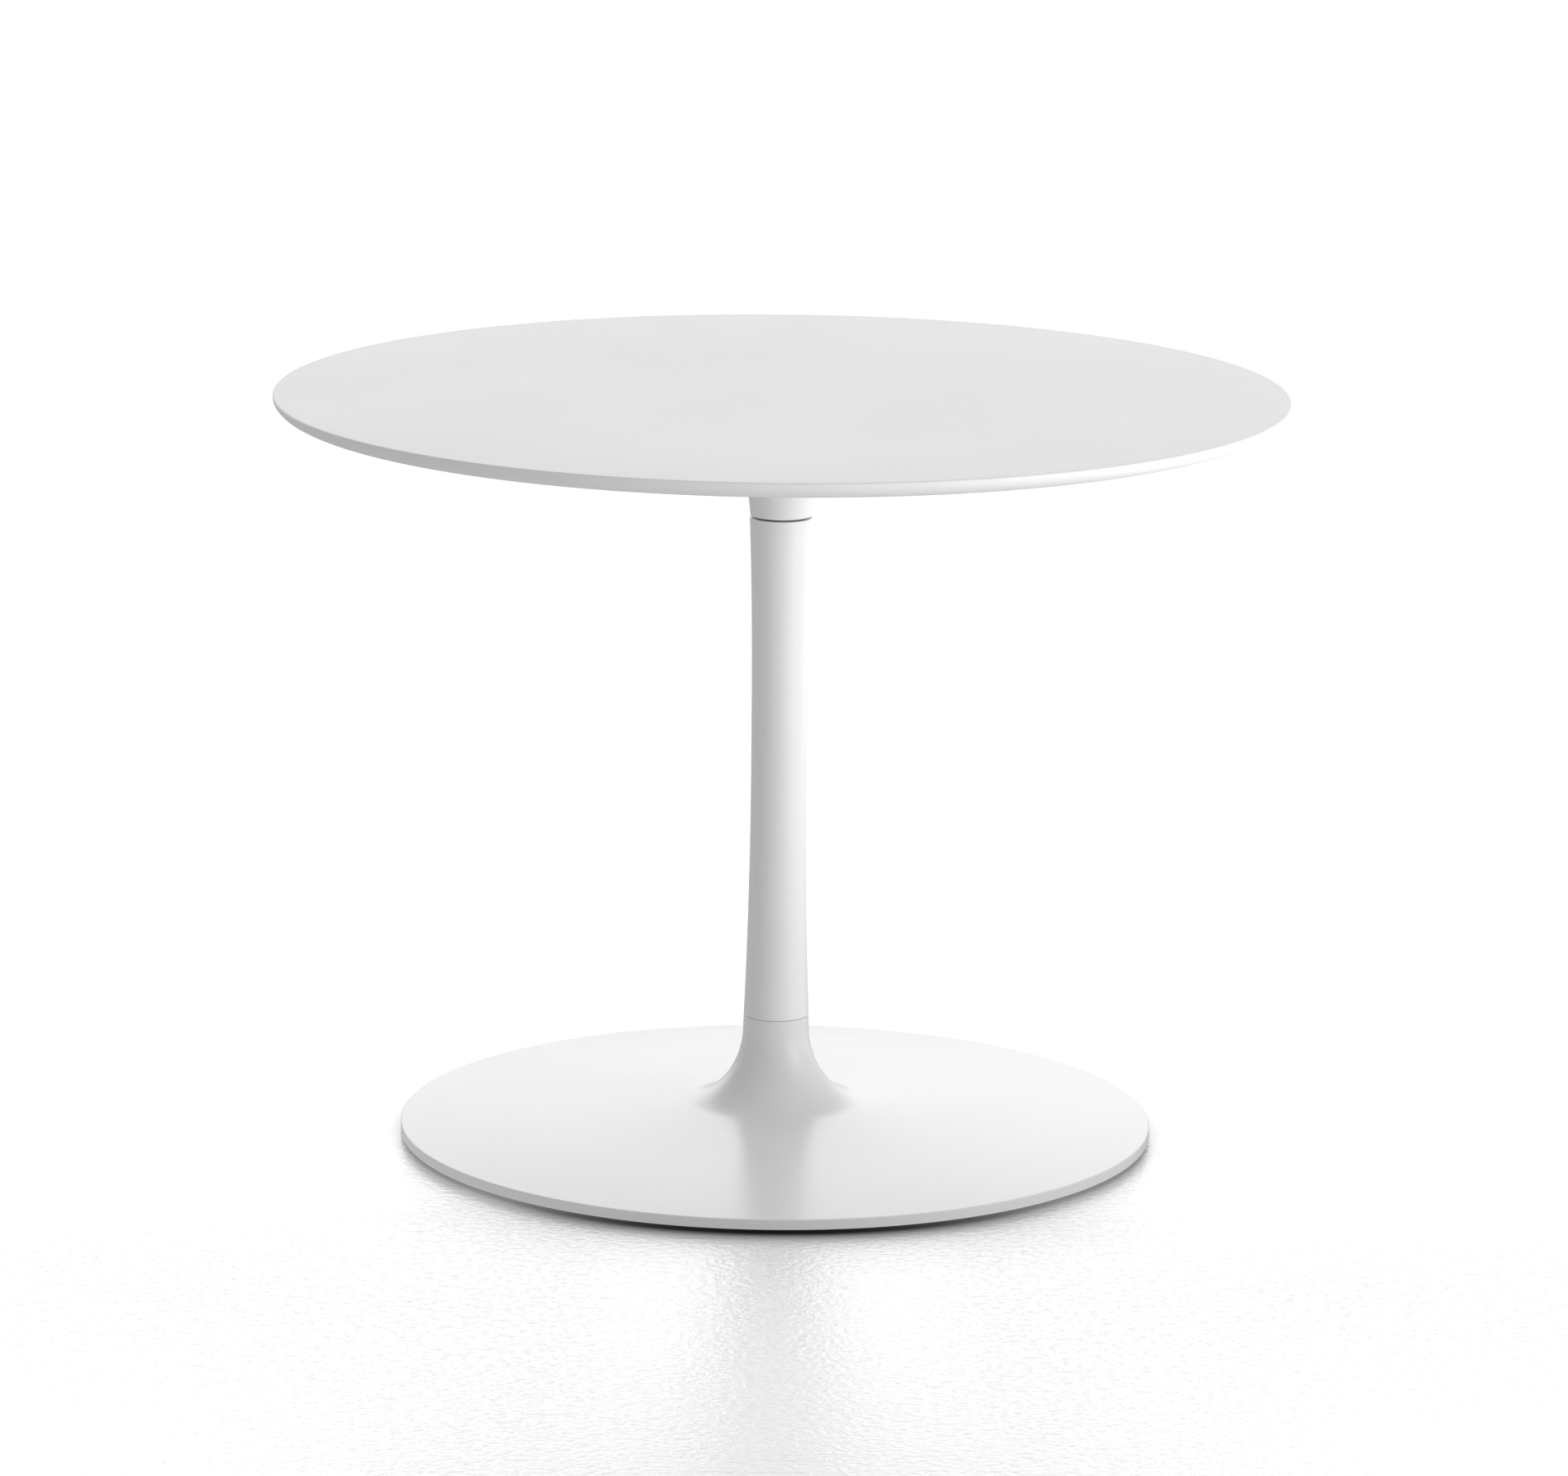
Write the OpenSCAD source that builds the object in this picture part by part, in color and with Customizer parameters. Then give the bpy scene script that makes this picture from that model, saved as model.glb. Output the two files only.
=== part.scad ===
// Round pedestal table: a thin lacquered board that swivels on a waisted column,
// which stands on a weighted trumpet base with four levelling glides.
// +Z is up. The origin is on the floor, on the column's axis.

/* [Overall] */
// Height of the table top's upper face above the floor
table_h = 600; // [500:5:760]
// Diameter of the board
top_d = 800; // [600:10:1200]
// Diameter of the base
base_d = 600; // [500:10:800]

/* [Table top] */
// Thickness of the board
top_t = 14; // [11.5:0.5:30]
// Height of the rounded upper corner of the board's edge
edge_nose = 1.6; // [1:0.1:4]
// How far the curved lower side of the edge reaches in from the rim
edge_in = 21; // [10:1:40]

/* [Mounting plate] */
// Diameter of the steel plate under the board
mount_plate_d = 240; // [200:5:400]
// Thickness of the steel plate under the board
mount_plate_t = 4; // [3.3:0.1:8]
// Number of screws from the plate into the board
plate_screw_count = 6; // [4:1:8]
// How far those screws stand in from the plate's edge
plate_screw_inset = 20; // [12:1:40]

/* [Collar hub] */
// Height of the hub, from its open end to the mounting plate
hub_h = 79.5; // [65:0.5:110]
// How much narrower the hub's end is than the column's upper end, on the radius
hub_step = 0.4; // [0:0.1:2]
// How much the hub widens for each millimetre of height
hub_taper = 0.1; // [0.02:0.01:0.16]
// How far the hub's flange stands out past its lower end
hub_flange_w = 20.6; // [17:0.1:40]
// Height of the flare between the hub's cone and its flange
hub_flare_h = 28; // [16:1:34]
// Number of screws from the plate into the hub
hub_screw_count = 4; // [3:1:6]

/* [Swivel] */
// Open gap between the collar and the column
reveal = 1.5; // [1:0.1:4]
// Radius of the swivel spindle
spindle_r = 10; // [8:0.5:12]
// Wall of the swivel bush
bush_wall = 3; // [2:0.1:4]
// Length of the swivel bush
bush_len = 52; // [30:1:64]
// Depth of the spindle in the hub
spindle_in_hub = 60; // [44:1:70]

/* [Column] */
// Radius of the column at its waist
waist_r = 21.9; // [18:0.1:32]
// How much wider the column's foot is than its waist, on the radius
column_foot_w = 4.1; // [2:0.1:12]
// How much wider the column's upper end is than its waist, on the radius
column_head_w = 2.9; // [2:0.1:12]
// Height of the waist above the seam
waist_up = 198; // [120:1:260]
// Thinnest wall of the column, at its waist
column_wall = 2.9; // [2:0.1:3.6]

/* [Base] */
// Height of the base's edge
rim_h = 8; // [6.5:0.1:14]
// Rise of the base from its edge to the level of the trumpet's foot
base_rise = 16; // [13:0.5:30]
// Thickness of the spun steel cover
cover_t = 2; // [1.2:0.1:2.5]
// Width of the trumpet's curve
flare_w = 50; // [40:1:70]
// Height of the trumpet's curve
flare_h = 60; // [45:1:80]
// Height of the plain neck above the trumpet's curve
neck_h = 10; // [4:1:40]
// Thickness of the ballast ring
ballast_t = 6; // [4:0.5:7.5]
// Clear space between the ballast ring and the glides' inserts
ballast_gap = 42; // [5:1:80]

/* [Glides] */
// Gap between the base's edge and the floor
base_lift = 3; // [2.5:0.1:6]
// How far the glides stand in from the base's edge
glide_inset = 80; // [70:1:110]
// Radius of a glide's pad
pad_r = 16; // [12:0.5:20]
// Radius of a glide's threaded stem
stem_r = 4; // [3:0.5:5]
// How far a glide screws out
glide_travel = 5; // [3:0.5:5]

/* [Hidden] */
$fn = 96;

// Clearances
run_gap = 0.05;        // radial, between parts that turn in each other
slip_gap = 0.1;        // between parts that are put together by hand
face_gap = 0.1;        // between faces that slide over each other
pad_gap = 0.3;         // between a glide's pad and the plate above it
plate_gap = 0.5;       // around the base plate, inside the cover
cut_over = 1;          // how far a cut runs past a face

// Screws: radii of the threads, of the holes they pass through, of the heads and their keys' corners
m5_r = 2.5;
m5_head_r = 4.8;
m5_key_r = 1.7;
m6_r = 3;
m6_hole_r = 3.3;
m6_head_r = 5.4;
m6_head_h = 3.3;
m6_key_r = 2.3;
low_head_r = 5;        // the low heads let into the base plate and the mounting plate
low_head_h = 2.2;
low_head_floor = 0.6;  // metal left under a low head's key
key_depth = 2.3;
tip_gap = 2;           // between a screw's tip and the bottom of its hole

// Levels, from the floor up
plate_recess = 1;                                  // base plate's underside above the cover's edge
base_plate_z = base_lift + plate_recess;
rim_top = base_lift + rim_h;
base_plate_top = rim_top - cover_t;
flare_z = rim_top + base_rise;                     // where the trumpet's curve would run level
flare_top = flare_z + flare_h;
seam_h = flare_top + neck_h;
seam_t = 0.5;
neck_top = seam_h - seam_t / 2;
column_z = seam_h + seam_t / 2;
board_z = table_h - top_t;
mount_plate_z = board_z - mount_plate_t;
hub_z = mount_plate_z - hub_h;
column_top = hub_z - reveal;

// Column and its bore
column_foot_r = waist_r + column_foot_w;
column_head_r = waist_r + column_head_w;
bore_r = waist_r - column_wall;

// Swivel: the spindle turns in a bush, in a housing that closes the column's upper end
bush_r = spindle_r + bush_wall;
head_flange_r = column_head_r - 2.8;
head_flange_t = 3;
thrust_washer_r = head_flange_r - 2;
ring_t = 2;                                        // retaining ring
ring_groove = 1;
ring_r = bush_r - 0.6;
ring_opening = 7;
ring_z = column_top - bush_len - pad_gap - ring_t;
spindle_z = ring_z - 4;
bore_floor_z = spindle_z - 3;
rod_thread = 20;                                   // depth of the tie rod's thread in the housing
housing_z = bore_floor_z - rod_thread;

// Collar hub
hub_end_r = column_head_r - hub_step;
hub_flange_r = hub_end_r + hub_flange_w;
hub_flange_t = 4;
hub_corner_r = 1;
hub_screw_pcd = 2 * hub_end_r;
hub_screw_len = 16;
hub_screw_turn = 45;
grub_angles = [60, 120];
grub_up = 36;                                      // height of the grub screws above the hub's end
grub_deep = 6;                                     // how far their outer ends lie under the surface
hub_r_at_grub = hub_end_r + hub_taper * grub_up;
grub_len = hub_r_at_grub - spindle_r - grub_deep;

// Mounting plate screws and inserts
plate_screw_pcd = mount_plate_d - 2 * plate_screw_inset;
insert_r = 4.5;
insert_cover = 4;                                  // board left above an insert
insert_len = top_t - insert_cover;

// Column foot and the tie rod's nut
rod_r = 5;
rod_hole_r = rod_r + 0.5;
foot_r = column_foot_r - cover_t - 1;
foot_flange_w = 34;                                // how far its flange reaches past the column
foot_flange_r = column_foot_r + foot_flange_w;
foot_flange_t = ballast_t;
foot_screw_count = 6;
foot_screw_pcd = foot_r + foot_flange_r;
spigot_len = 35;
nut_space_r = 13;
nut_h = 8;
nut_corner_r = 9.8;
washer_r = 12;
washer_t = 2;
nut_z = base_plate_z + 2.5;
washer_z = nut_z + nut_h;

// Glides
glide_count = 4;
glide_turn = 45;
glide_r = base_d / 2 - glide_inset;
glide_insert_r = stem_r + 4;
glide_insert_top = base_plate_top + 2;
stem_grip = 4;                                     // thread still held when a glide is fully out
stem_top = base_plate_z + stem_grip + glide_travel;
pad_h = base_plate_z - pad_gap;
pad_lip = 0.7;                                     // lip that holds the stem's head in the pad
pad_floor = 1.25;
pad_chamfer = 0.8;
stem_head_r = stem_r + 1;
stem_head_z = pad_floor + run_gap;
stem_head_top = pad_h - pad_lip - run_gap;

// Ballast ring and the cap over the tie rod's nut
ballast_in_r = foot_flange_r + 2;
ballast_r = glide_r - glide_insert_r - ballast_gap;
ballast_screw_count = 3;
ballast_screw_pcd = ballast_in_r + ballast_r;
ballast_turn = 30;
cap_r = nut_space_r + 4;
cap_t = 0.8;
cap_wall = 1.5;
cap_plug_h = 1;

// ---- Outlines ----

// Points of a concave quarter ellipse centred at (cr, cz), from near-upright to near-level
function flare(cr, cz, a, b, from, to, n) =
    [for (i = [0:n]) let (f = from + (to - from) * i / n) [cr - a * cos(f), cz - b * sin(f)]];

// Points of a convex arc of radius a across and b up, centred at (cr, cz)
function arc(cr, cz, a, b, from, to, n) =
    [for (i = [0:n]) let (f = from + (to - from) * i / n) [cr + a * cos(f), cz + b * sin(f)]];

// Radius of the column at height z: it swells slowly to its foot and quickly to its head
waist_z = seam_h + waist_up;
function column_r(z) = z < waist_z
    ? waist_r + column_foot_w * pow((waist_z - z) / waist_up, 2)
    : waist_r + column_head_w * pow((z - waist_z) / (column_top - waist_z), 2.9);

// The neck carries on the slope of the column's side where they meet
neck_slope = 2 * column_foot_w / waist_up;
cone_slope = base_rise / (base_d / 2 - column_foot_r - flare_w);
flare_start_r = column_foot_r + neck_slope * neck_h;
flare_from = atan(neck_slope * flare_h / flare_w);
flare_to = atan(flare_h / flare_w / cone_slope);
flare_cr = flare_start_r + flare_w * cos(flare_from);
flare_steps = 28;

// The base cover's curve, offset inwards by t
function cover_curve(t) =
    flare(flare_cr, flare_top, flare_w + t, flare_h + t, flare_from, flare_to, flare_steps);

// Height of the cover's upper side at radius r on its cone
cone_start = cover_curve(0)[flare_steps];
function cone_z(r) =
    rim_top + (base_d / 2 - r) * (cone_start[1] - rim_top) / (base_d / 2 - cone_start[0]);

// ---- Shared shapes ----

module ring_of(count, pcd, start = 0) {
    for (i = [0:count - 1]) rotate(start + i * 360 / count) translate([pcd / 2, 0, 0]) children();
}

module disc(r, z0, z1) {
    translate([0, 0, z0]) cylinder(r = r, h = z1 - z0);
}

module tube(r_out, r_in, z0, z1) {
    difference() {
        disc(r_out, z0, z1);
        disc(r_in, z0 - cut_over, z1 + cut_over);
    }
}

module hexagon(corner_r, z0, z1) {
    translate([0, 0, z0]) cylinder(r = corner_r, h = z1 - z0, $fn = 6);
}

// A screw whose low head is let into a plate's underside at z
module low_screw(r, tip_z, z) {
    difference() {
        union() {
            disc(low_head_r, z, z + low_head_h);
            disc(r, z, tip_z);
        }
        hexagon(m5_key_r, z - cut_over, z + low_head_h - low_head_floor);
    }
}

// The hole for such a screw through a plate from z0 to z1
module low_screw_hole(r, z0, z1) {
    disc(r, z0 - cut_over, z1 + cut_over);
    disc(low_head_r + slip_gap, z0 - cut_over, z0 + low_head_h);
}

// ---- Table top ----

module table_top() {
    r = top_d / 2;
    nose_z = table_h - edge_nose;
    nose = arc(r - edge_nose, nose_z, edge_nose, edge_nose, 90, 0, 6);
    under = arc(r - edge_in, nose_z, edge_in, nose_z - board_z, 0, -90, 14);
    color("white") difference() {
        rotate_extrude($fn = 240) polygon(concat([[0, board_z], [0, table_h]], nose, under));
        ring_of(plate_screw_count, plate_screw_pcd)
            disc(insert_r, board_z - cut_over, board_z + insert_len);
    }
}

module board_inserts() {
    color("goldenrod") ring_of(plate_screw_count, plate_screw_pcd)
        tube(insert_r, m6_r, board_z, board_z + insert_len);
}

module mounting_plate() {
    color("whitesmoke") difference() {
        disc(mount_plate_d / 2, mount_plate_z, board_z);
        ring_of(plate_screw_count, plate_screw_pcd)
            disc(m6_hole_r, mount_plate_z - cut_over, board_z + cut_over);
        ring_of(hub_screw_count, hub_screw_pcd, hub_screw_turn) {
            disc(m5_r + slip_gap, mount_plate_z - cut_over, board_z + cut_over);
            disc(m5_head_r + slip_gap, board_z - low_head_h, board_z + cut_over);
        }
    }
}

module plate_screws() {
    head_z = mount_plate_z - m6_head_h;
    color("silver") ring_of(plate_screw_count, plate_screw_pcd) difference() {
        union() {
            disc(m6_r, mount_plate_z, board_z + insert_len - tip_gap);
            disc(m6_head_r, head_z, mount_plate_z);
        }
        hexagon(m6_key_r, head_z - cut_over, head_z + key_depth);
    }
}

// ---- Collar hub and swivel ----

module collar_hub() {
    cone_top = mount_plate_z - hub_flange_t - hub_flare_h;
    cone_top_r = hub_end_r + hub_taper * (cone_top - hub_z);
    out = hub_flange_r - cone_top_r;
    from = atan(hub_taper * hub_flare_h / out);
    across = out / cos(from);
    up = hub_flare_h / (1 - sin(from));
    side = arc(cone_top_r + out, cone_top - up * sin(from), -across, up, from, 90, 14);
    bottom = arc(hub_end_r - hub_corner_r, hub_z + hub_corner_r, hub_corner_r, hub_corner_r, -90, 0, 5);
    color("white") difference() {
        rotate_extrude($fn = 128)
            polygon(concat([[0, hub_z]], bottom, side, [[hub_flange_r, mount_plate_z], [0, mount_plate_z]]));
        disc(spindle_r, hub_z - cut_over, hub_z + spindle_in_hub);
        ring_of(hub_screw_count, hub_screw_pcd, hub_screw_turn)
            disc(m5_r, mount_plate_z - hub_screw_len, mount_plate_z + cut_over);
        at_grub_screws() cylinder(r = m6_r, h = hub_r_at_grub + cut_over);
    }
}

module at_grub_screws() {
    for (a = grub_angles) rotate(a) translate([0, 0, hub_z + grub_up]) rotate([0, 90, 0]) children();
}

module hub_screws() {
    color("silver") ring_of(hub_screw_count, hub_screw_pcd, hub_screw_turn) difference() {
        union() {
            disc(m5_r, mount_plate_z - hub_screw_len + tip_gap, board_z);
            disc(m5_head_r, board_z - low_head_h, board_z);
        }
        hexagon(m5_key_r, board_z - low_head_h + low_head_floor, board_z + cut_over);
    }
}

module grub_screws() {
    color("dimgray") at_grub_screws() translate([0, 0, spindle_r]) difference() {
        cylinder(r = m6_r, h = grub_len);
        hexagon(m5_key_r, grub_len - key_depth, grub_len + cut_over);
    }
}

module spindle() {
    color("silver") difference() {
        disc(spindle_r, spindle_z, hub_z + spindle_in_hub);
        tube(spindle_r + cut_over, spindle_r - ring_groove, ring_z, ring_z + ring_t);
    }
}

module retaining_ring() {
    color("dimgray") difference() {
        tube(ring_r, spindle_r - ring_groove, ring_z, ring_z + ring_t);
        translate([0, -ring_opening / 2, ring_z - cut_over])
            cube([ring_r + cut_over, ring_opening, ring_t + 2 * cut_over]);
    }
}

module thrust_washer() {
    color("dimgray") tube(thrust_washer_r, spindle_r + slip_gap, column_top, hub_z - face_gap);
}

module swivel_bush() {
    color("black") tube(bush_r, spindle_r + run_gap, column_top - bush_len, column_top);
}

module bearing_housing() {
    color("silver") difference() {
        union() {
            disc(bore_r, housing_z, column_top);
            disc(head_flange_r - slip_gap, column_top - head_flange_t, column_top);
        }
        disc(bush_r, bore_floor_z, column_top + cut_over);
        disc(rod_r, housing_z - cut_over, bore_floor_z + cut_over);
    }
}

// ---- Column ----

module column() {
    steps = 40;
    side = [for (i = [0:steps]) let (z = column_z + (column_top - column_z) * i / steps) [column_r(z), z]];
    color("white") difference() {
        rotate_extrude($fn = 128) polygon(concat([[0, column_z]], side, [[0, column_top]]));
        disc(bore_r, column_z - cut_over, column_top + cut_over);
        disc(head_flange_r, column_top - head_flange_t, column_top + cut_over);
    }
}

module seam_ring() {
    set_in = 0.4;
    color("gray") tube(column_foot_r - set_in, foot_r + slip_gap, neck_top, column_z);
}

module column_foot() {
    flange_top = base_plate_top + foot_flange_t;
    spigot_top = column_z + spigot_len;
    color("silver") difference() {
        union() {
            disc(foot_flange_r, base_plate_top, flange_top);
            disc(foot_r, base_plate_top, column_z);
            disc(bore_r - slip_gap, column_z, spigot_top);
        }
        disc(nut_space_r, base_plate_top - cut_over, washer_z + washer_t);
        disc(rod_hole_r, washer_z, spigot_top + cut_over);
        ring_of(foot_screw_count, foot_screw_pcd)
            disc(m6_r, base_plate_top - cut_over, flange_top + cut_over);
    }
}

module tie_rod() {
    past_nut = 1;
    color("silver") disc(rod_r, nut_z - past_nut, bore_floor_z - slip_gap);
}

module tie_rod_washer() {
    color("silver") tube(washer_r, rod_r, washer_z, washer_z + washer_t);
}

module tie_rod_nut() {
    color("silver") difference() {
        hexagon(nut_corner_r, nut_z, washer_z);
        disc(rod_r, nut_z - cut_over, washer_z + cut_over);
    }
}

module foot_screws() {
    color("silver") ring_of(foot_screw_count, foot_screw_pcd)
        low_screw(m6_r, base_plate_top + foot_flange_t, base_plate_z);
}

// ---- Base ----

module base_cover() {
    r = base_d / 2;
    corner_r = 1.2;
    corner = arc(r - corner_r, cone_z(r - corner_r) - corner_r, corner_r, corner_r, 90, 0, 5);
    inner = cover_curve(cover_t);
    inner_r = r - cover_t;
    color("white") rotate_extrude($fn = 240) polygon(concat(
        [[column_foot_r - cover_t, neck_top], [column_foot_r, neck_top]],
        cover_curve(0),
        corner,
        [[r, base_lift], [inner_r, base_lift], [inner_r, cone_z(inner_r) - cover_t]],
        [for (i = [flare_steps:-1:0]) inner[i]]
    ));
}

module ballast_ring() {
    top = base_plate_top + ballast_t;
    color("dimgray") difference() {
        tube(ballast_r, ballast_in_r, base_plate_top, top);
        ring_of(ballast_screw_count, ballast_screw_pcd, ballast_turn)
            disc(m5_r, base_plate_top - cut_over, top + cut_over);
    }
}

module ballast_screws() {
    color("silver") ring_of(ballast_screw_count, ballast_screw_pcd, ballast_turn)
        low_screw(m5_r, base_plate_top + ballast_t, base_plate_z);
}

module base_plate() {
    color("dimgray") difference() {
        disc(base_d / 2 - cover_t - plate_gap, base_plate_z, base_plate_top);
        disc(nut_space_r, base_plate_z - cut_over, base_plate_top + cut_over);
        ring_of(foot_screw_count, foot_screw_pcd) low_screw_hole(m6_hole_r, base_plate_z, base_plate_top);
        ring_of(ballast_screw_count, ballast_screw_pcd, ballast_turn)
            low_screw_hole(m5_r + slip_gap, base_plate_z, base_plate_top);
        ring_of(glide_count, 2 * glide_r, glide_turn)
            disc(glide_insert_r, base_plate_z - cut_over, base_plate_top + cut_over);
    }
}

module access_cap() {
    plug_r = nut_space_r - slip_gap;
    color("black") union() {
        disc(cap_r, base_plate_z - cap_t, base_plate_z);
        tube(plug_r, plug_r - cap_wall, base_plate_z, base_plate_z + cap_plug_h);
    }
}

// ---- Glides ----

module glide_inserts() {
    color("silver") ring_of(glide_count, 2 * glide_r, glide_turn)
        tube(glide_insert_r, stem_r + run_gap, base_plate_z, glide_insert_top);
}

module at_glide(k) {
    rotate(glide_turn + (k - 1) * 360 / glide_count) translate([glide_r, 0, 0]) children();
}

module glide_stem(k) {
    color("silver") at_glide(k) difference() {
        union() {
            disc(stem_r, stem_head_z, stem_top);
            disc(stem_head_r, stem_head_z, stem_head_top);
        }
        hexagon(m6_key_r, stem_top - key_depth, stem_top + cut_over);
    }
}

module glide_pad(k) {
    color("black") at_glide(k) difference() {
        union() {
            cylinder(r1 = pad_r - pad_chamfer, r2 = pad_r, h = pad_chamfer);
            disc(pad_r, pad_chamfer, pad_h);
        }
        disc(stem_head_r + pad_gap, pad_floor, pad_h - pad_lip);
        disc(stem_r + pad_gap, pad_floor, pad_h + cut_over);
    }
}

table_top();
board_inserts();
mounting_plate();
plate_screws();
collar_hub();
hub_screws();
spindle();
retaining_ring();
grub_screws();
thrust_washer();
swivel_bush();
bearing_housing();
column();
seam_ring();
column_foot();
tie_rod();
tie_rod_washer();
tie_rod_nut();
foot_screws();
base_cover();
ballast_ring();
ballast_screws();
base_plate();
glide_inserts();
access_cap();
glide_stem(1);  // glide_stem_1
glide_stem(2);  // glide_stem_2
glide_stem(3);  // glide_stem_3
glide_stem(4);  // glide_stem_4
glide_pad(1);  // glide_pad_1
glide_pad(2);  // glide_pad_2
glide_pad(3);  // glide_pad_3
glide_pad(4);  // glide_pad_4
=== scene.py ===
"""A round pedestal table: a thin lacquered board that swivels on a waisted column, over a
weighted trumpet base with four levelling glides. Metres, +Z up, origin on the floor."""
from math import atan, cos, pi, radians, sin, tau

import bpy
from mathutils import Matrix, Vector


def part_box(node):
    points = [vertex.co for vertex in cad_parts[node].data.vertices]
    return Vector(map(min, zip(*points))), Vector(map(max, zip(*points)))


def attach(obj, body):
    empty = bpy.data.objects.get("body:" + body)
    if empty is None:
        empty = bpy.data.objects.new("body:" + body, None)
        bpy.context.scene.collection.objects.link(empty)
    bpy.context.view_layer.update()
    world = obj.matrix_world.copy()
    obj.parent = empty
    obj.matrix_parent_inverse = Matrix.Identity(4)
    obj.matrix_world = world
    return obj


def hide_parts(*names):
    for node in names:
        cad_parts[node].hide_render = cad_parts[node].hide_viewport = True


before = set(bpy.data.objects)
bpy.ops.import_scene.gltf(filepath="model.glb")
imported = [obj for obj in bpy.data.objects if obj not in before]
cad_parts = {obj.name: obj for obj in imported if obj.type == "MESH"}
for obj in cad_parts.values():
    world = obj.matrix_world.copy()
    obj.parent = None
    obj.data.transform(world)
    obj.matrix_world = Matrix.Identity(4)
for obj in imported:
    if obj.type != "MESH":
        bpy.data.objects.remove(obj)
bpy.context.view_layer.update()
scene = bpy.context.scene


# ---- Camera ----
# A long lens a little above eye height, far enough back to flatten the table's circles.
# The camera leans slightly, as it does on a tripod that isn't quite level.

stand_off = 5.77
eye_height = 1.567
look_down = radians(12.17)
lean = radians(0.594)
turn = radians(-0.04)

camera_data = bpy.data.cameras.new("camera")
camera_data.lens = 170.7
camera_data.sensor_width = 36
camera_data.clip_end = 200
camera = bpy.data.objects.new("camera", camera_data)
camera.matrix_world = (
    Matrix.Translation((0, -stand_off, eye_height))
    @ Matrix.Rotation(turn, 4, "Z")
    @ Matrix.Rotation(pi / 2 - look_down, 4, "X")
    @ Matrix.Rotation(lean, 4, "Z")
)
scene.collection.objects.link(camera)
scene.camera = camera
scene.view_settings.view_transform = "Standard"


# ---- Floor ----
# A white studio floor that runs on past the picture, with the fine dimples of rolled paint
# and a soft gloss. It loses itself in white, but for the shade under the base. It is clear
# from underneath, so that the table's underside can be looked at.


class Finish:
    """A socket in a tree of shader nodes. Sums and products of it add Math nodes."""

    def __init__(self, tree, socket=None):
        self.tree = tree
        self.socket = socket

    def node(self, kind, settings=None, sockets=None, out=0):
        """Adds a node of this kind, its settings first and then its sockets, and gives one output."""
        node = self.tree.nodes.new("ShaderNode" + kind)
        for name, value in (settings or {}).items():
            setattr(node, name, value)
        for name, value in (sockets or {}).items():
            if isinstance(value, Finish):
                self.tree.links.new(value.socket, node.inputs[name])
            else:
                node.inputs[name].default_value = value
        return Finish(self.tree, node.outputs[out] if node.outputs else None)

    def maths(self, operation, *values):
        return self.node("Math", {"operation": operation}, dict(enumerate(values)))

    def __add__(self, other):
        return self.maths("ADD", self, other)

    def __sub__(self, other):
        return self.maths("SUBTRACT", self, other)

    def __rsub__(self, other):
        return self.maths("SUBTRACT", other, self)

    def __mul__(self, other):
        return self.maths("MULTIPLY", self, other)

    def __pow__(self, other):
        return self.maths("POWER", self, other)

    __radd__ = __add__
    __rmul__ = __mul__


def new_material(name):
    """An empty material, and a Finish to build its nodes with."""
    material = bpy.data.materials.new(name)
    material.use_nodes = True
    material.node_tree.nodes.clear()
    return material, Finish(material.node_tree)


def ramp(value, start, end):
    """Rises smoothly from 0 to 1 as the value goes from start to end."""
    return value.node("MapRange", {"interpolation_type": "SMOOTHSTEP"}, {0: value, 1: start, 2: end})


def axis_of(vector, letter):
    """One coordinate of a vector."""
    return vector.node("SeparateXYZ", None, {"Vector": vector}, out=letter)


def between(drift, one, other):
    """A colour that drifts from one to the other."""
    return drift.node("Mix", {"data_type": "RGBA"}, {0: drift, 6: (*one, 1), 7: (*other, 1)}, out=2)


def surface_of(tree, colour, rough, height, strength, depth, metallic=0):
    """Ends a material: one shader with its colour, its roughness and its relief."""
    relief = tree.node("Bump", None, {"Height": height, "Strength": strength, "Distance": depth})
    skin = tree.node("BsdfPrincipled", None, {
        "Base Color": colour, "Metallic": metallic, "Roughness": rough, "Normal": relief,
    })
    tree.node("OutputMaterial", None, {"Surface": skin})


floor_size = 60
floor_white = 0.62
floor_gloss = 0.42
floor_rough = 0.24
dimple_scale = 150
dimple_depth = 0.0028
base_edge = 0.3
shade_reach = 0.16
pool_reach = 0.16
pool_depth = 0.08
grain_depth = 0.15

material, tree = new_material("studio_floor")
place = tree.node("TexCoord", out="Object")
across = axis_of(place, "X")
along = axis_of(place, "Y")
from_axis = (across * across + along * along) ** 0.5
dimples = tree.node("TexNoise", None, {
    "Vector": place, "Scale": dimple_scale, "Detail": 4, "Roughness": 0.6,
})
ripple = tree.node("Bump", None, {"Height": dimples, "Strength": 0.45, "Distance": dimple_depth})
open_sky = tree.node("AmbientOcclusion", {"samples": 16}, {"Distance": shade_reach}, out="AO")

# The shade under the base is hard and dark at the front, and soft at the sides.
front = ramp(-1 * along, 0.19, base_edge)
least = 0.62 - 0.6 * front
shade = least + (1 - least) * open_sky ** (1.4 + 3 * front)

# A paler pool of painted shade lies in front of it, and the dimples show as a fine grain
# of painted dark specks. Both are weak in the middle, where the floor mirrors the column.
pool = pool_depth * front * (1 - ramp(from_axis, base_edge, base_edge + pool_reach))
speckle = ramp(dimples, 0.35, 0.7) * ramp(-1 * along, 0, 0.5) * (1 - ramp(from_axis, 0.5, 1.3))
off_middle = 0.3 + 0.7 * ramp(across * across, 0.002, 0.03)
shade = shade * (1 - (pool + grain_depth * speckle) * off_middle)

# What the floor throws back at the table: more from the far right, less from close by.
near = 1 - ramp(from_axis, 0.3, 0.9)
thrown = (0.5 + 1.2 * ramp(across, 0, 1.6)) * (1 - 0.45 * near)
thrown = thrown + 0.3 * near * ramp(-1 * across, 0, 0.25)

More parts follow.
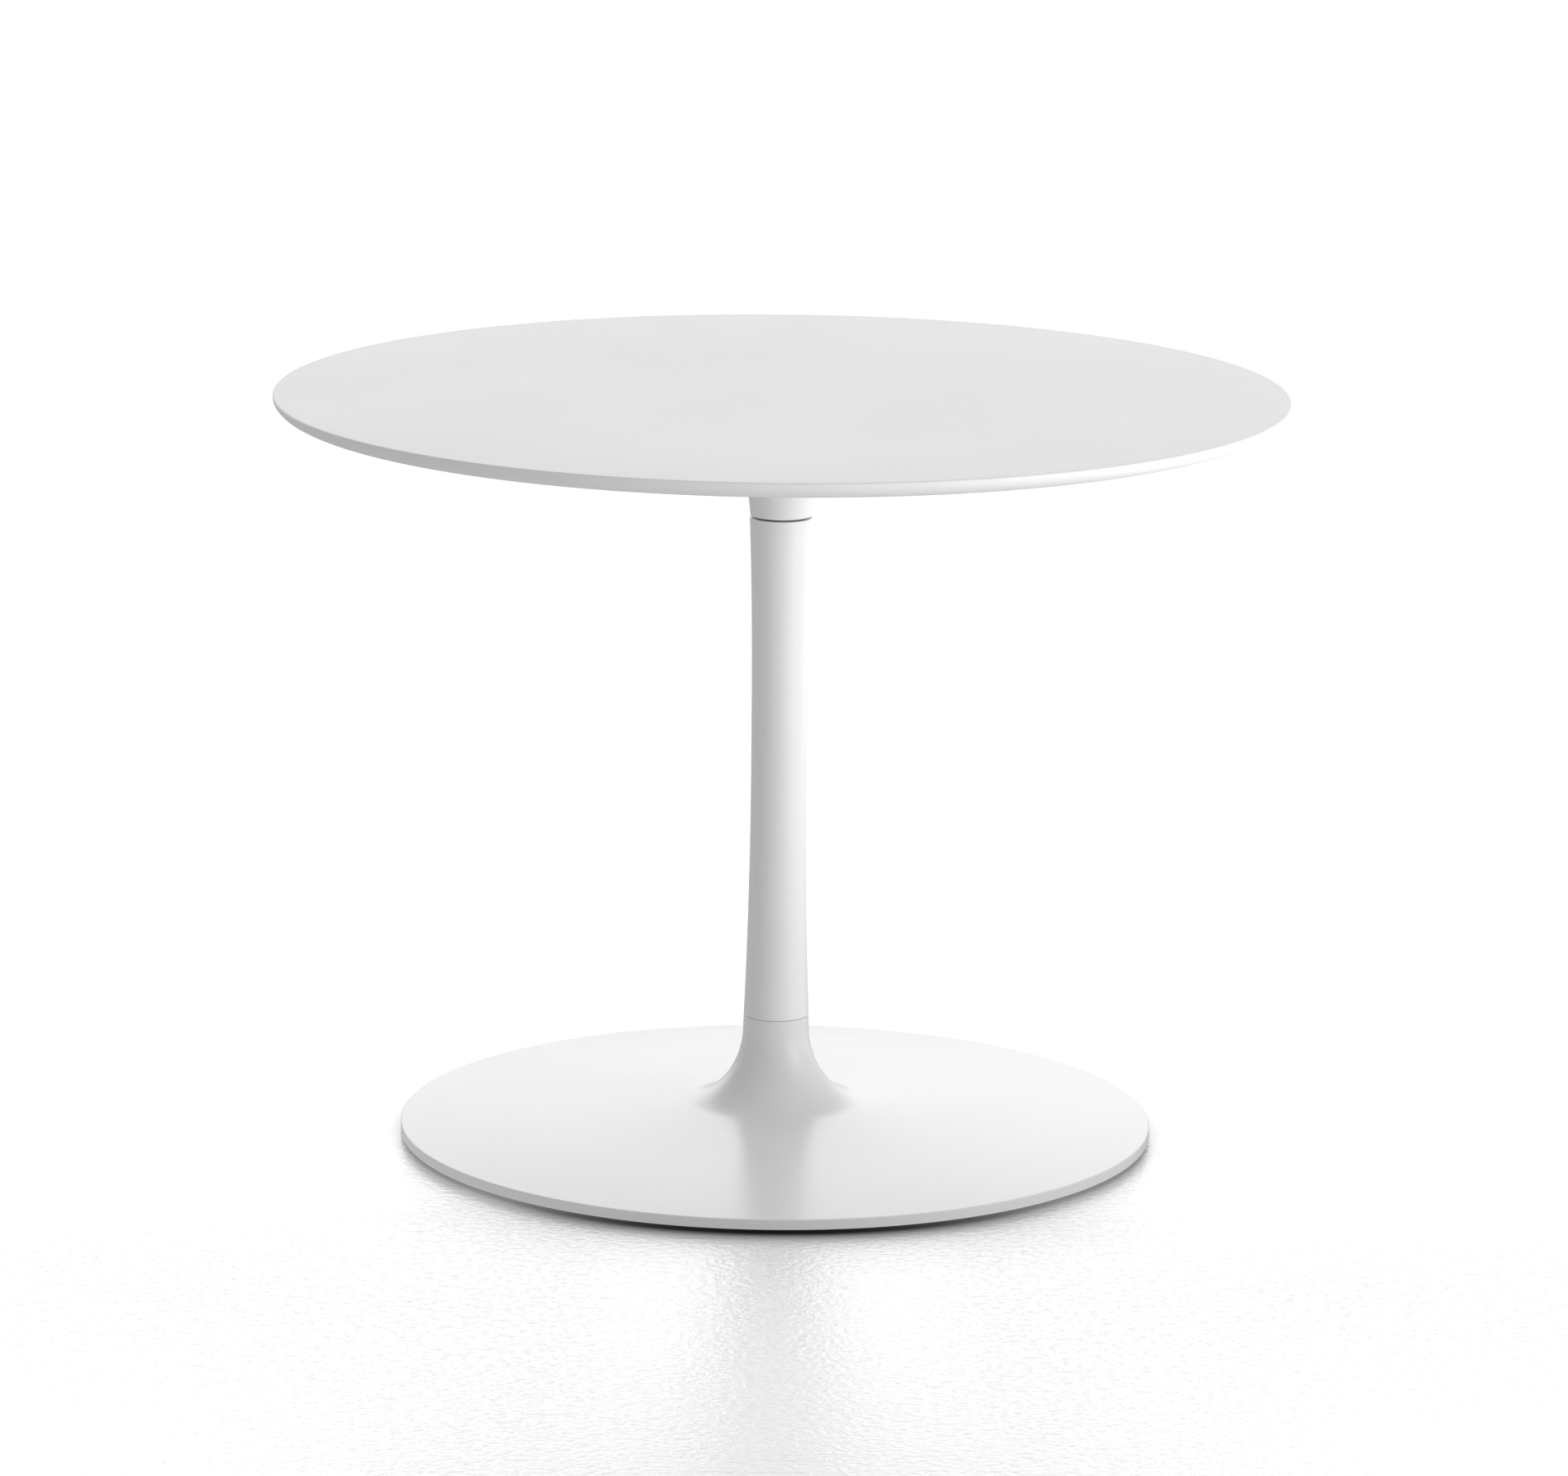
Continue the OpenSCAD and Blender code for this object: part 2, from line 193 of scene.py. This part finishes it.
white = tree.node("Emission", None, {"Color": (1, 1, 1, 1), "Strength": shade * floor_white})
sheen = tree.node("BsdfGlossy", None, {"Roughness": floor_rough, "Color": shade, "Normal": ripple})
seen = tree.node("MixShader", None, {0: floor_gloss, 1: white, 2: sheen})
bounce = tree.node("Emission", None, {"Color": (1, 1, 1, 1), "Strength": thrown})
eye = tree.node("LightPath", out="Is Camera Ray")
topside = tree.node("MixShader", None, {0: eye, 1: bounce, 2: seen})
underside = tree.node("NewGeometry", out="Backfacing")
clear = tree.node("BsdfTransparent")
surface = tree.node("MixShader", None, {0: underside, 1: topside, 2: clear})
tree.node("OutputMaterial", None, {"Surface": surface})

bpy.ops.object.select_all(action="DESELECT")
bpy.ops.mesh.primitive_plane_add(size=floor_size, location=(0, 0, 0))
floor = bpy.context.object
floor.name = "floor"
floor.data.materials.append(material)


# ---- Light ----
# A pale room, brightest behind the table and darker on the left, and a big soft box on the
# right. A second box lights only the tall parts, and a weak glow from below only the cover.

world = bpy.data.worlds.new("room")
world.use_nodes = True
world.node_tree.nodes.clear()
scene.world = world
air = Finish(world.node_tree)
way = air.node("TexCoord", out="Generated")
across = axis_of(way, "X")
back = axis_of(way, "Y")
up = axis_of(way, "Z")
dim = 0.485
right_side = (0.06 + 0.4 * ramp(up, 0, 0.7)) * ramp(across, 0, 1)
backdrop_shape = ramp(back, 0.5, 1.0) * (1 - ramp(up, 0.4, 0.8)) * (1 - 0.6 * ramp(across, 0.12, 0.45))
backdrop = 1.8 * backdrop_shape * (0.62 + 0.38 * ramp(up, 0.05, 0.33))
glow = air.node("Background", None, {"Color": (1, 1, 1, 1), "Strength": dim + right_side + backdrop})
air.node("OutputWorld", None, {"Surface": glow})


def soft_box(name, place, aim, width, height, power, only=None, shadows=True):
    """A rectangular soft light at a place, turned to face a point. It may be flagged off all
    but the pieces of one collection."""
    lamp = bpy.data.lights.new(name, "AREA")
    lamp.use_shadow = shadows
    lamp.shape = "RECTANGLE"
    lamp.size = width
    lamp.size_y = height
    lamp.energy = power
    box = bpy.data.objects.new(name, lamp)
    box.location = place
    box.rotation_euler = (Vector(aim) - Vector(place)).to_track_quat("-Z", "Y").to_euler()
    box.light_linking.receiver_collection = only
    scene.collection.objects.link(box)


tall_parts = bpy.data.collections.new("tall_parts")
low_parts = bpy.data.collections.new("low_parts")
mid_column = (0, 0, 0.4)
low_column = (0, 0, 0.35)
flare_point = (0, 0, 0.12)
soft_box("right_box", (2.75, -1.6, 0.6), mid_column, 2.0, 1.7, 19)
soft_box("column_box", (2.6, -1.75, 0.5), low_column, 1.6, 1.6, 22, only=tall_parts)
soft_box("floor_glow", (1.3, -0.8, -1.9), flare_point, 1.3, 1.0, 13, only=low_parts, shadows=False)


# ---- Base cover ----
# One spun steel skin: a thin turned-down edge, a shallow cone and the trumpet that rises
# into the neck. The base plate closes it from below and the column clamps its neck.

weld = 1e-6


def arc(centre, across, up, start, end, steps):
    """Points of part of an ellipse about a centre, between two angles in degrees."""
    for step in range(steps + 1):
        angle = radians(start + (end - start) * step / steps)
        yield centre[0] + across * cos(angle), centre[1] + up * sin(angle)


def drawn(name, outline):
    """A new piece, left in edit mode: an outline of (radius, height) points, extruded from
    point to point."""
    bpy.ops.object.select_all(action="DESELECT")
    bpy.ops.mesh.primitive_plane_add(size=0.01, location=(0, 0, 0))
    piece = bpy.context.object
    piece.name = name
    bpy.ops.object.mode_set(mode="EDIT")
    bpy.ops.mesh.select_mode(type="VERT")
    bpy.ops.mesh.select_all(action="SELECT")
    bpy.ops.mesh.merge(type="CENTER")
    bpy.ops.transform.translate(value=(outline[0][0], 0, outline[0][1]))
    for here, there in zip(outline, outline[1:]):
        step = (there[0] - here[0], 0, there[1] - here[1])
        bpy.ops.mesh.extrude_region_move(TRANSFORM_OT_translate={"value": step})
    return piece


def turned(name, outline, steps=256):
    """A shape turned on a lathe: an outline spun about the column's axis. One that doesn't
    start on the axis is closed first."""
    outline = list(outline)
    if outline[0][0] > 0:
        outline.append(outline[0])
    piece = drawn(name, outline)
    bpy.ops.mesh.select_all(action="SELECT")
    bpy.ops.mesh.spin(steps=steps, angle=tau, center=(0, 0, 0), axis=(0, 0, 1))
    bpy.ops.mesh.select_all(action="SELECT")
    bpy.ops.mesh.remove_doubles(threshold=weld)
    bpy.ops.mesh.normals_make_consistent(inside=False)
    bpy.ops.object.mode_set(mode="OBJECT")
    bpy.ops.object.shade_smooth_by_angle(angle=radians(30))
    return piece


def white_coat(name, shade, rough, peel_size, peel_depth):
    """Satin white paint: a fine orange peel, and a slow drift in how glossy and how white it is."""
    material, tree = new_material(name)
    place = tree.node("TexCoord", out="Object")
    drift = tree.node("TexNoise", None, {"Vector": place, "Scale": 9, "Detail": 4, "Roughness": 0.6})
    peel = tree.node("TexNoise", None, {"Vector": place, "Scale": 1 / peel_size, "Detail": 2})
    duller = (shade * 0.97, shade * 0.97, shade * 0.965)
    whiter = (shade * 1.03, shade * 1.03, shade * 1.027)
    tint = between(drift, duller, whiter)
    surface_of(tree, tint, rough + 0.1 * (drift - 0.5), peel, 0.5, peel_depth)
    return material


low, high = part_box("base_cover")
rim_radius = high.x
rim_height = 0.008
skin = 0.002
corner = 0.0012
neck_height = 0.010
neck_radius = 0.026
neck_slope = 0.0414
flare_width = 0.050
flare_height = 0.060
flare_rise = 0.016
seam_ring_thick = 0.0005
neck_break = 0.0003
rim_break = 0.0004
cone_rings = (0.12, 0.2)

seam = high.z + seam_ring_thick / 2
flare_top = seam - neck_height
rim_top = low.z + rim_height
cone_slope = flare_rise / (rim_radius - neck_radius - flare_width)
flare_start = atan(neck_slope * flare_height / flare_width)
flare_end = atan(flare_height / flare_width / cone_slope)
flare_centre = neck_radius + neck_slope * neck_height + flare_width * cos(flare_start)


def flare(inset, steps=40):
    """The trumpet's curve from the neck down to the cone, that far inside the skin."""
    return list(arc(
        (flare_centre, flare_top), -flare_width - inset, -flare_height - inset,
        flare_start * 180 / pi, flare_end * 180 / pi, steps,
    ))


flare_foot = flare(0)[-1]


def cone(radius):
    """Height of the cover's upper side where it is a cone."""
    return rim_top + (rim_radius - radius) * (flare_foot[1] - rim_top) / (rim_radius - flare_foot[0])


inner = rim_radius - skin
outline = [(neck_radius - skin, high.z), (neck_radius - neck_break, high.z)]
outline += [(neck_radius, high.z - neck_break)]
outline += flare(0)
outline += [(radius, cone(radius)) for radius in cone_rings]
outline += arc((rim_radius - corner, cone(rim_radius - corner) - corner), corner, corner, 90, 0, 6)
outline += [(rim_radius, low.z + rim_break), (rim_radius - rim_break, low.z), (inner, low.z)]
outline += [(inner, cone(inner) - skin)]
outline += reversed(flare(skin))
cover = turned("spun_cover", outline, steps=360)
base_white = white_coat("white_enamel", 0.83, 0.25, 0.0012, 0.00006)
cover.data.materials.append(base_white)
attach(cover, "pedestal")
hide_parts("base_cover")
low_parts.objects.link(cover)


# ---- Base plate and ballast ----
# A laser-cut steel plate that closes the cover from below, in black textured powder coat,
# and the cast iron ring bolted on top of it that keeps the table on its feet.


def black_coat(name):
    """Black powder coat: a close pebbled texture, with duller patches where it has been rubbed."""
    material, tree = new_material(name)
    place = tree.node("TexCoord", out="Object")
    pebble = tree.node("TexNoise", None, {"Vector": place, "Scale": 900, "Detail": 2})
    rubbed = tree.node("TexNoise", None, {"Vector": place, "Scale": 14, "Detail": 6, "Roughness": 0.65})
    tint = between(rubbed, (0.010, 0.010, 0.011), (0.036, 0.036, 0.037))
    surface_of(tree, tint, 0.5 + 0.3 * (rubbed - 0.5), pebble, 0.7, 0.00012)
    return material


def cast_iron(name):
    """Sand-cast iron, painted thinly grey: a coarse skin with pits, and rust in random patches."""
    material, tree = new_material(name)
    place = tree.node("TexCoord", out="Object")
    skin_grain = tree.node("TexNoise", None, {"Vector": place, "Scale": 420, "Detail": 6})
    pits = tree.node("TexVoronoi", None, {"Vector": place, "Scale": 260}, out="Distance")
    stain = tree.node("TexNoise", None, {"Vector": place, "Scale": 22, "Detail": 8, "Roughness": 0.7})
    rusty = tree.node("MapRange", None, {0: stain, 1: 0.56, 2: 0.72})
    tint = between(rusty, (0.085, 0.085, 0.090), (0.160, 0.075, 0.040))
    surface_of(tree, tint, 0.62 + 0.3 * (skin_grain - 0.5), skin_grain + pits, 0.8, 0.0004)
    return material


def dress(material, *nodes):
    """Gives a finish to parts whose shape is already right."""
    for node in nodes:
        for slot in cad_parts[node].material_slots:
            slot.material = material


dress(black_coat("black_enamel"), "base_plate")
dress(cast_iron("cast_ballast"), "ballast_ring")


# ---- Column foot ----
# A turned steel spigot with a wide flange, bolted to the base plate. The column slips over
# it and stands on the cover's neck. Its faces keep the fine rings of the lathe.


def lathe_metal(name, dark, light, rough, ring_width, ring_depth):
    """Bare turned metal: rings about the column's axis, on flats and round sides alike."""
    material, tree = new_material(name)
    place = tree.node("TexCoord", out="Object")
    across = axis_of(place, "X")
    along = axis_of(place, "Y")
    radius = (across * across + along * along) ** 0.5
    rings = tree.node("TexNoise", {"noise_dimensions": "1D"}, {
        "W": radius + axis_of(place, "Z"), "Scale": 1 / ring_width, "Detail": 3, "Roughness": 0.7,
    })
    haze = tree.node("TexNoise", None, {"Vector": place, "Scale": 60, "Detail": 4})
    tint = between(haze, dark, light)
    surface_of(tree, tint, rough + 0.2 * (rings - 0.5), rings, 0.6, ring_depth, metallic=1)
    return material


turned_steel = lathe_metal("turned_steel", (0.40, 0.39, 0.38), (0.56, 0.55, 0.54), 0.30, 0.0005, 0.00002)
dress(turned_steel, "column_foot")


# ---- Base screws ----
# Low-headed screws let into the base plate from below: six into the column foot's flange
# and three into the ballast ring. Zinc plated steel with a six-sided key socket.


def zinc_plate(name):
    """Bright zinc: a cool grey with a faint straw and blue bloom, and a crystalline grain."""
    material, tree = new_material(name)
    place = tree.node("TexCoord", out="Object")
    bloom = tree.node("TexNoise", None, {"Vector": place, "Scale": 150, "Detail": 3})
    crystals = tree.node("TexVoronoi", None, {"Vector": place, "Scale": 1800}, out="Distance")
    tint = between(bloom, (0.52, 0.56, 0.62), (0.70, 0.68, 0.61))
    surface_of(tree, tint, 0.28 + 0.25 * (bloom - 0.5), crystals, 0.4, 0.00003, metallic=1)
    return material


def cut(piece, *cutters):
    """Cuts away from a piece what each cutter fills, and does away with the cutter."""
    for cutter in cutters:
        trim = piece.modifiers.new("cut", "BOOLEAN")
        trim.object = cutter
        trim.solver = "EXACT"
        bpy.context.view_layer.objects.active = piece
        bpy.ops.object.modifier_apply(modifier=trim.name)
        bpy.data.objects.remove(cutter)
    bpy.ops.object.select_all(action="DESELECT")
    piece.select_set(True)
    bpy.ops.object.shade_smooth_by_angle(angle=radians(30))


def rod(radius, foot, length, sides=48):
    """A straight bar to cut with, standing on a point."""
    bpy.ops.object.select_all(action="DESELECT")
    middle = (foot[0], foot[1], foot[2] + length / 2)
    bpy.ops.mesh.primitive_cylinder_add(vertices=sides, radius=radius, depth=length, location=middle)
    return bpy.context.object


def socket_screw(name, head, shank, tip, key, key_depth):
    """A screw on the axis with its head down: the head's outline from the middle of its face
    round to the shank, the plain shank up to its chamfered tip, and the key's socket."""
    chamfer = shank * 0.2
    foot = head[0][1]
    outline = [(0, foot)] + head + [(shank, head[-1][1])]
    outline += [(shank, tip - chamfer), (shank - chamfer, tip), (0, tip)]
    screw = turned(name, outline, steps=40)
    mouth = 0.001
    cut(screw, rod(key, (0, 0, foot - mouth), mouth + key_depth, sides=6))
    return screw


def around(piece, count, circle, start=0):
    """Copies of a piece about the axis, evenly spaced on a circle. The piece itself goes."""
    for number in range(count):
        copy = piece.copy()
        copy.data = piece.data.copy()
        copy.name = f"{piece.name}_{number + 1}"
        spin = Matrix.Rotation(radians(start) + tau * number / count, 4, "Z")
        copy.data.transform(spin @ Matrix.Translation((circle / 2, 0, 0)))
        scene.collection.objects.link(copy)
        yield copy
    bpy.data.objects.remove(piece)


def low_screws(name, node, shank, count, circle, start=0):
    """The low-headed screws of one node, set flush in the base plate."""
    low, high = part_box(node)
    head_high = 0.0022
    soft = 0.0003
    key_radius = 0.0017
    key_floor = 0.0006
    head = list(arc((screw_head_radius - soft, low.z + soft), soft, soft, -90, 0, 4))
    head += [(screw_head_radius, low.z + head_high)]
    screw = socket_screw(name, head, shank, high.z, key_radius, head_high - key_floor)
    screw.data.materials.append(zinc)
    for copy in around(screw, count, circle, start):
        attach(copy, "pedestal")
        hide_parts(node)


zinc = zinc_plate("zinc_plate")
screw_head_radius = 0.005
foot_shank = 0.003
foot_circle = 0.083
ballast_shank = 0.0025
ballast_circle = -2 * (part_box("ballast_screws")[0].y + screw_head_radius)
low_screws("foot_screw", "foot_screws", foot_shank, 6, foot_circle)
low_screws("ballast_screw", "ballast_screws", ballast_shank, 3, ballast_circle, start=30)


# ---- Glides ----
# Four levelling glides: a zinc threaded insert pressed into the base plate, a threaded stem
# that turns in it, and a black moulded pad that clips round the stem's head.


def moulded(name, shade, rough):
    """Moulded acetal: waxy, with the fine matt grain of a spark-eroded mould and slight flow marks."""
    material, tree = new_material(name)
    place = tree.node("TexCoord", out="Object")
    grain = tree.node("TexNoise", None, {"Vector": place, "Scale": 2200, "Detail": 2})
    flow = tree.node("TexNoise", None, {"Vector": place, "Scale": 70, "Detail": 2, "Distortion": 1.5})
    darker = (shade * 0.85, shade * 0.85, shade * 0.87)
    tint = between(flow, darker, (shade * 1.2, shade * 1.2, shade * 1.2))
    surface_of(tree, tint, rough + 0.15 * (flow - 0.5), grain, 0.5, 0.00004)
    return material


def threaded(name, radius, pitch, foot, top):
    """A threaded rod on the axis: one turn of the thread's side, screwed up and cut off square."""
    root = radius - 0.61 * pitch
    start = foot - 2 * pitch
    flank = [(radius, 0), (radius, 1 / 8), (root, 1 / 2), (root, 3 / 4), (radius, 1)]
    turns = int((top - foot) / pitch) + 3
    piece = drawn(name, [(out, start + share * pitch) for out, share in flank])
    bpy.ops.object.mode_set(mode="OBJECT")
    helix = piece.modifiers.new("helix", "SCREW")
    helix.screw_offset = pitch
    helix.iterations = turns
    helix.steps = 32
    helix.render_steps = 32
    bpy.ops.object.modifier_apply(modifier=helix.name)
    bpy.ops.object.mode_set(mode="EDIT")
    bpy.ops.mesh.select_all(action="SELECT")
    bpy.ops.mesh.remove_doubles(threshold=weld)
    bpy.ops.mesh.bisect(plane_co=(0, 0, foot), plane_no=(0, 0, 1), use_fill=True, clear_inner=True)
    bpy.ops.mesh.select_all(action="SELECT")
    bpy.ops.mesh.bisect(plane_co=(0, 0, top), plane_no=(0, 0, 1), use_fill=True, clear_outer=True)
    bpy.ops.mesh.select_all(action="SELECT")
    bpy.ops.mesh.normals_make_consistent(inside=False)
    bpy.ops.object.mode_set(mode="OBJECT")
    bpy.ops.object.shade_smooth_by_angle(angle=radians(25))
    return piece


dress(zinc, "glide_inserts")
acetal = moulded("black_acetal", 0.022, 0.42)
low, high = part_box("glide_stem_1")
stem_radius = 0.004
stem_head = 0.005
stem_head_top = 0.00295
stem_pitch = 0.00125
stem_key = 0.0023
stem_key_depth = 0.0023
stem_break = 0.0003
button_break = 0.0002
glide_circle = Vector((low.x + high.x, low.y + high.y)).length
glide_count = 4
first_glide = 45

stem = threaded("threaded_stem", stem_radius, stem_pitch, stem_head_top - button_break, high.z)
cut(stem, rod(stem_key, (0, 0, high.z - stem_key_depth), 2 * stem_key_depth, sides=6))
button = turned("button", [
    (0, low.z), (stem_head - stem_break, low.z), (stem_head, low.z + stem_break),
    (stem_head, stem_head_top - button_break), (stem_head - button_break, stem_head_top),
    (0, stem_head_top),
], steps=48)
bpy.ops.object.select_all(action="DESELECT")
button.select_set(True)
stem.select_set(True)
bpy.context.view_layer.objects.active = stem
bpy.ops.object.join()
stem.data.materials.append(zinc)
for number, copy in enumerate(around(stem, glide_count, glide_circle, start=first_glide), 1):
    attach(copy, f"glide_stem_{number}")
    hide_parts(f"glide_stem_{number}")

low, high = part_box("glide_pad_1")
pad_radius = (high.x - low.x) / 2
pad_round = 0.0006
pad_chamfer = 0.0008
pad_relief = 0.0002
clearance = 0.0003
hole_break = 0.0003
hole = stem_radius + clearance
pocket = stem_head + clearance
pocket_floor = 0.00125
lip = 0.0007
groove = 0.0105
groove_floor = 0.0004
groove_mouth = 0.0008
groove_depth = 0.0005
pad = turned("glide_foot", [
    (0, pad_relief), (groove - 0.001, pad_relief), (groove - 0.0004, 0), (pad_radius - pad_chamfer, 0),
    (pad_radius - 0.0003, pad_chamfer * 0.5), (pad_radius, pad_chamfer + 0.0002),
    *arc((pad_radius - pad_round, high.z - pad_round), pad_round, pad_round, 0, 90, 5),
    (groove + groove_mouth, high.z), (groove + groove_floor, high.z - groove_depth),
    (groove - groove_floor, high.z - groove_depth), (groove - groove_mouth, high.z),
    (hole + hole_break, high.z), (hole, high.z - hole_break), (hole, high.z - lip),
    (pocket, high.z - lip), (pocket, pocket_floor), (0, pocket_floor),
], steps=72)
pad.data.materials.append(acetal)
for number, copy in enumerate(around(pad, glide_count, glide_circle, start=first_glide), 1):
    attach(copy, f"glide_pad_{number}")
    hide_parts(f"glide_pad_{number}")


# ---- Tie rod and its cap ----
# A zinc plated rod pulls the column down on the foot. Its nut and washer are reached from
# below, under a black cap that clips into the base plate.

dress(zinc, "tie_rod", "tie_rod_washer", "tie_rod_nut")
low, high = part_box("access_cap")
face = low.z + 0.0008
plug = 0.0129
plug_wall = 0.0015
plug_break = 0.0002
dish = 0.0115
dish_depth = 0.00025
cap_round = 0.0006
cap = turned("clip_cap", [
    (0, low.z + dish_depth), (dish, low.z + dish_depth), (dish + cap_round, low.z),
    *arc((high.x - cap_round, low.z + cap_round), cap_round, cap_round, -90, 0, 5),
    (high.x, face), (plug, face), (plug, high.z - plug_break), (plug - plug_break, high.z),
    (plug - plug_wall, high.z), (plug - plug_wall, face), (0, face),
], steps=96)
cap.data.materials.append(acetal)
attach(cap, "pedestal")
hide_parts("access_cap")


# ---- Column ----
# An aluminium tube, turned to a slow waist and coated white, pulled down on the foot by
# the tie rod inside it. A thin pale grey ring at the seam keeps it off the cover's neck.

dress(moulded("pale_acetal", 0.5, 0.45), "seam_ring")

low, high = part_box("column")
foot_radius = high.x
waist_radius = 0.0219
head_radius = 0.0248
bore = 0.019
recess = 0.022
recess_depth = 0.003
waist_height = 0.295
edge = 0.0004


def column_radius(z):
    """The tube swells slowly to its foot and quickly to its head."""
    if z < waist_height:
        share = (waist_height - z) / (waist_height - seam)
        return waist_radius + (foot_radius - waist_radius) * share ** 2
    share = (z - waist_height) / (high.z - waist_height)
    return waist_radius + (head_radius - waist_radius) * share ** 2.9


steps = 72
heights = [low.z + edge + (high.z - low.z - 2 * edge) * step / steps for step in range(steps + 1)]
outline = [(bore, low.z), (foot_radius - edge, low.z)]
outline += [(column_radius(z), z) for z in heights]
outline += [(head_radius - edge, high.z), (recess, high.z)]
outline += [(recess, high.z - recess_depth), (bore, high.z - recess_depth)]
column = turned("waisted_column", outline)
column.data.materials.append(base_white)
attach(column, "pedestal")
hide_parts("column")
tall_parts.objects.link(column)


# ---- Swivel ----
# An aluminium housing closes the column's upper end and holds a black bush. The spindle
# turns in it, on a grey washer, and a spring ring keeps it from lifting out.


def black_oxide(name):
    """Spring steel, blacked and oiled: nearly black with brownish patches and a soft gloss."""
    material, tree = new_material(name)
    place = tree.node("TexCoord", out="Object")
    patches = tree.node("TexNoise", None, {"Vector": place, "Scale": 220, "Detail": 5})
    tint = between(patches, (0.020, 0.020, 0.023), (0.060, 0.052, 0.045))
    surface_of(tree, tint, 0.38 + 0.25 * (patches - 0.5), patches, 0.4, 0.00003, metallic=0.8)
    return material


dress(lathe_metal("turned_aluminium", (0.62, 0.62, 0.63), (0.78, 0.78, 0.78), 0.34, 0.0004, 0.00002),
      "bearing_housing")
dress(acetal, "swivel_bush")
dress(moulded("grey_acetal", 0.3, 0.45), "thrust_washer")
dress(turned_steel, "spindle")
blacked = black_oxide("black_oxide")
dress(blacked, "retaining_ring")


# ---- Collar hub ----
# A solid aluminium hub that widens into a flange under the mounting plate. The spindle is
# held in it by two grub screws, and its lower edge stops short of the column.

low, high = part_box("collar_hub")
end_radius = 0.0244
taper = 0.1
flange_thick = 0.004
flange_break = 0.0004
flare_up = 0.028
round_across = 0.0012
round_up = 0.0005
spindle_radius = 0.010
spindle_top = low.z + 0.060
grub_height = low.z + 0.036
grub_radius = 0.003
grub_hole_start = 0.005
grub_hole_long = 0.05
grub_turns = (60, 120)
hub_screw_radius = 0.0025
hub_screw_length = 0.016
hub_screw_turns = (45, 135, 225, 315)
past = 0.001

# The flare is part of an ellipse that runs on from the cone and ends level at the flange.
cone_top = high.z - flange_thick - flare_up
cone_top_radius = end_radius + taper * (cone_top - low.z)
out = high.x - cone_top_radius
start = atan(taper * flare_up / out)
across = out / cos(start)
rise = flare_up / (1 - sin(start))
flare_middle = (cone_top_radius + out, cone_top - rise * sin(start))
outline = [(0, spindle_top), (spindle_radius, spindle_top), (spindle_radius, low.z)]
outline += arc((end_radius - round_across, low.z + round_up), round_across, round_up, -90, 0, 6)
outline += arc(flare_middle, -across, rise, start * 180 / pi, 90, 28)
outline += [(high.x, high.z - flange_break), (high.x - flange_break, high.z), (0, high.z)]
hub = turned("collar", outline)
for turn_to in grub_turns:
    bar = rod(grub_radius, (0, 0, grub_hole_start), grub_hole_long)
    aim = Matrix.Rotation(radians(turn_to), 4, "Z") @ Matrix.Rotation(pi / 2, 4, "Y")
    bar.data.transform(Matrix.Translation((0, 0, grub_height)) @ aim @ Matrix.Translation(bar.location))
    bar.location = (0, 0, 0)
    cut(hub, bar)
for turn_to in hub_screw_turns:
    x = end_radius * cos(radians(turn_to))
    y = end_radius * sin(radians(turn_to))
    cut(hub, rod(hub_screw_radius, (x, y, high.z - hub_screw_length), hub_screw_length + past, sides=24))
hub.data.materials.append(base_white)
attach(hub, "top")
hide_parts("collar_hub")
tall_parts.objects.link(hub)
dress(blacked, "grub_screws")
dress(zinc, "hub_screws")


# ---- Mounting plate ----
# A round steel plate with eased edges, in the same white enamel. The hub is screwed to it
# from above and the board from below, by six button-headed screws.

low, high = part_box("mounting_plate")
eased = 0.0006
plate_circle = 0.200
plate_screw_count = 6
plate_hole_radius = 0.0033
outline = [(0, low.z)]
outline += arc((high.x - eased, low.z + eased), eased, eased, -90, 0, 5)
outline += arc((high.x - eased, high.z - eased), eased, eased, 0, 90, 5)
outline += [(0, high.z)]
plate = turned("round_plate", outline, steps=192)
for number in range(plate_screw_count):
    turn_to = tau * number / plate_screw_count
    x = plate_circle / 2 * cos(turn_to)
    y = plate_circle / 2 * sin(turn_to)
    cut(plate, rod(plate_hole_radius, (x, y, low.z - past), high.z - low.z + 2 * past, sides=32))
plate.data.materials.append(base_white)
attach(plate, "top")
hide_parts("mounting_plate")

low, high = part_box("plate_screws")
shank_radius = 0.003
button_radius = 0.0054
button_high = 0.0033
button_land = 0.0006
key_radius = 0.0023
key_depth = 0.0023
dome_base = (shank_radius, low.z + button_high - button_land)
head = [(shank_radius, low.z)]
head += arc(dome_base, button_radius - shank_radius, button_high - button_land, -80, 0, 8)
head += [(button_radius, low.z + button_high)]
screw = socket_screw("plate_screw", head, shank_radius, high.z, key_radius, key_depth)
screw.data.materials.append(zinc)
for copy in around(screw, plate_screw_count, plate_circle):
    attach(copy, "top")
    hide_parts("plate_screws")


# ---- Table top ----
# A fibreboard disc, its lower side milled away in one curve up to a thin rounded rim,
# lacquered white all over. It is screwed to the mounting plate from below.

low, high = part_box("table_top")
nose = 0.0016
edge_reach = 0.021
board_rings = (0.13, 0.26)
nose_height = high.z - nose
outline = [(0, high.z)] + [(radius, high.z) for radius in board_rings]
outline += arc((high.x - nose, nose_height), nose, nose, 90, 0, 8)
outline += list(arc((high.x - edge_reach, nose_height), edge_reach, nose_height - low.z, 0, -90, 36))[1:]
outline += [(board_rings[-1], low.z), (0, low.z)]
board = turned("lacquered_board", outline, steps=480)
board.data.materials.append(white_coat("white_lacquer", 0.83, 0.42, 0.002, 0.00004))
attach(board, "top")
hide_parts("table_top")
tall_parts.objects.link(board)


# ---- Board inserts ----
# Plain brass inserts, pressed into the board to take the plate's screws.

dress(lathe_metal("brass", (0.62, 0.43, 0.16), (0.78, 0.57, 0.25), 0.3, 0.0004, 0.00002), "board_inserts")
